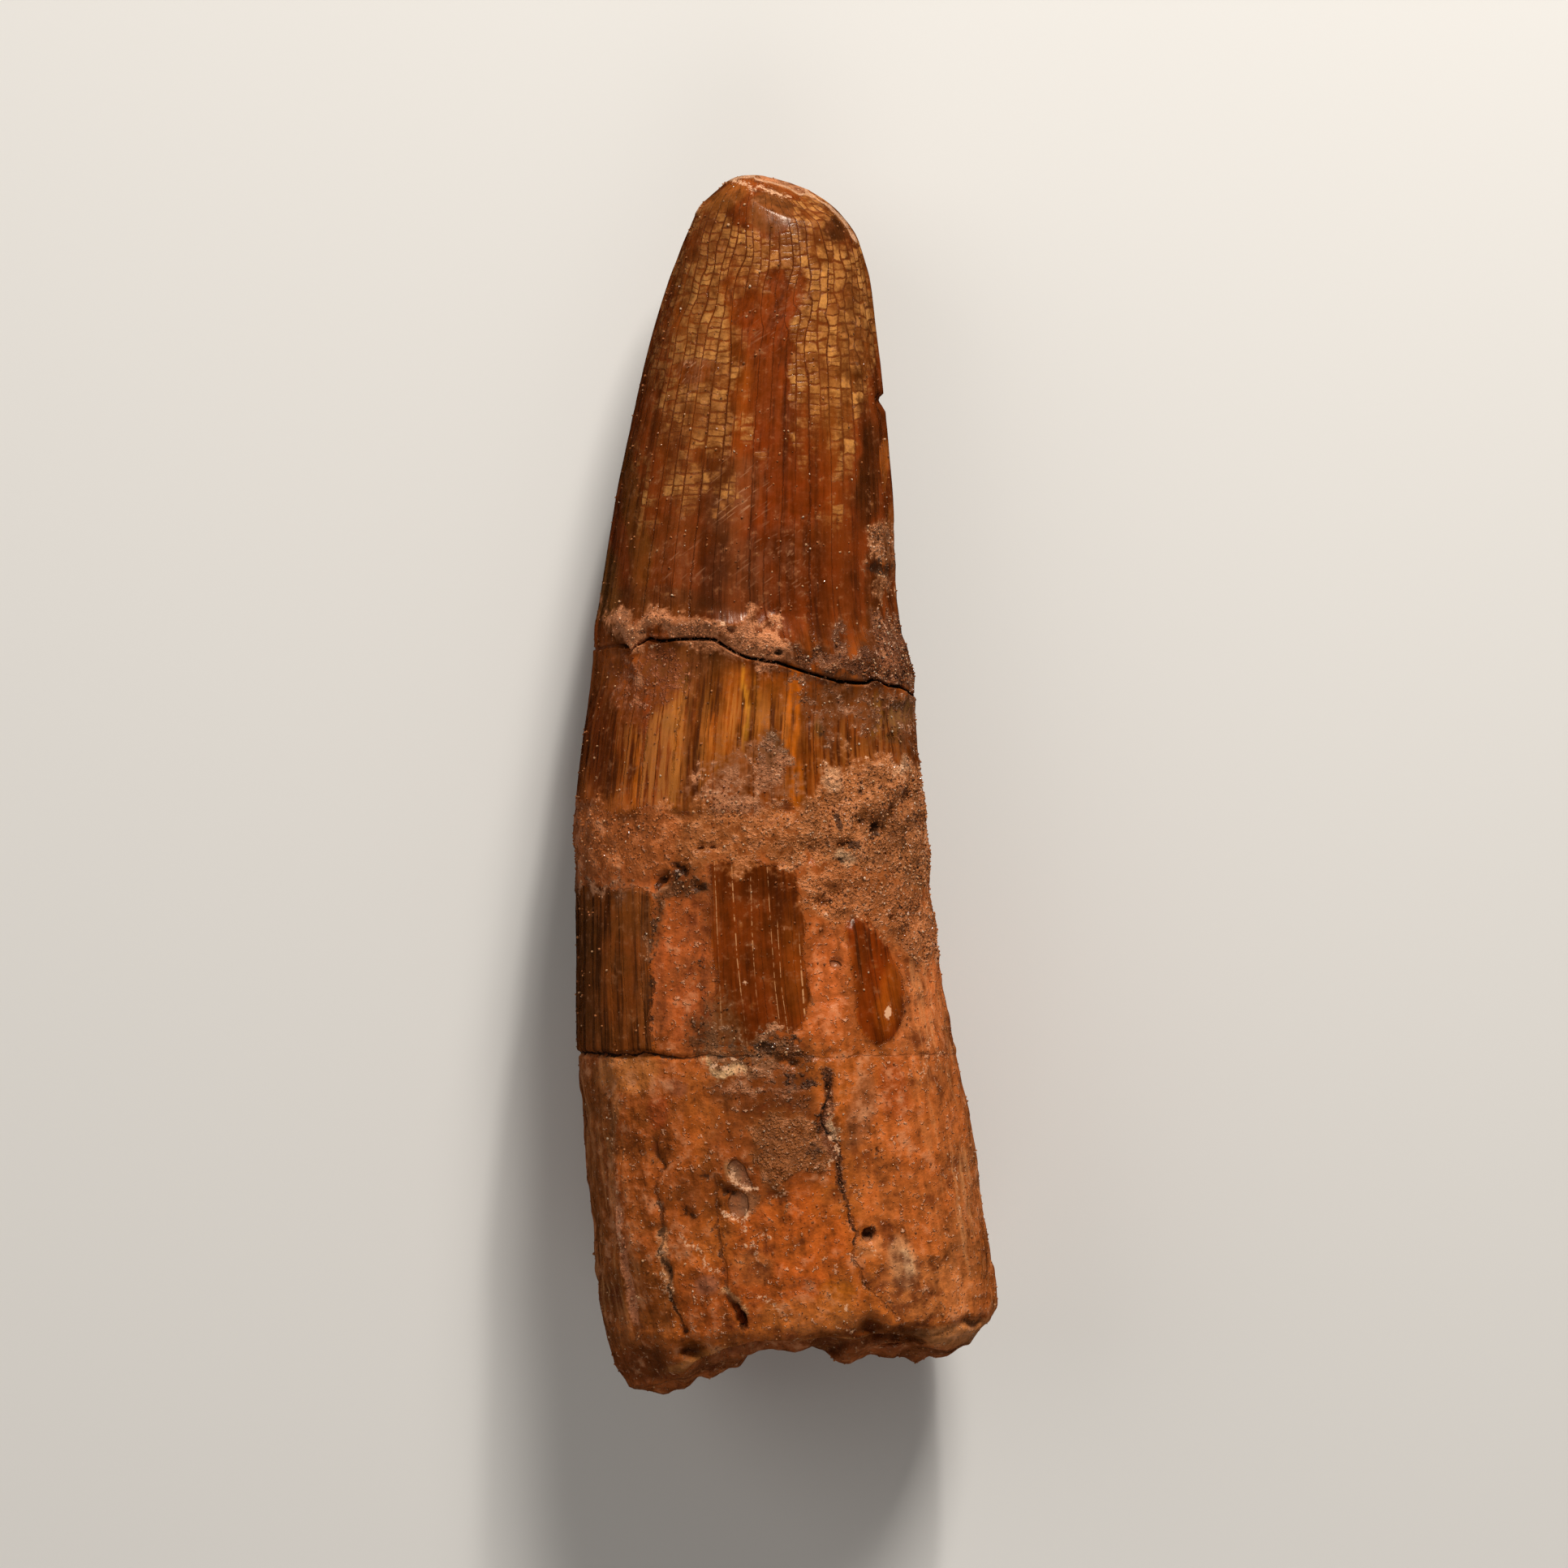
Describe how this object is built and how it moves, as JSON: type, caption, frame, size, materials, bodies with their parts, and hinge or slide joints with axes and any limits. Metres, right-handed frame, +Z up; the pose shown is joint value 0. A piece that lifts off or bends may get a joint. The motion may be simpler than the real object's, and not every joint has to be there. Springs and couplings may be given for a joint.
{
  "type": "spinosaurus tooth",
  "caption": "Fossil spinosaur tooth lying on its side: a long, slightly curved, fluted crown on a sandy root, with healed fractures, bared dentine, a worn tip and a snapped base.",
  "frame": {"origin": "on the surface that the tooth lies on, under the middle of its length and width", "axes": "+Y along the tooth from the snapped root to the tip; +X to the edge on the right as seen from above; +Z up, out of the face that shows"},
  "size_m": [0.0312, 0.0902, 0.0228],
  "materials": {
    "fossil_tooth": "worn, half-glossy brown enamel over matt orange dentine and sand"
  },
  "bodies": {
    "root": {"tooth": "fossil_tooth"}
  },
  "joints": []
}
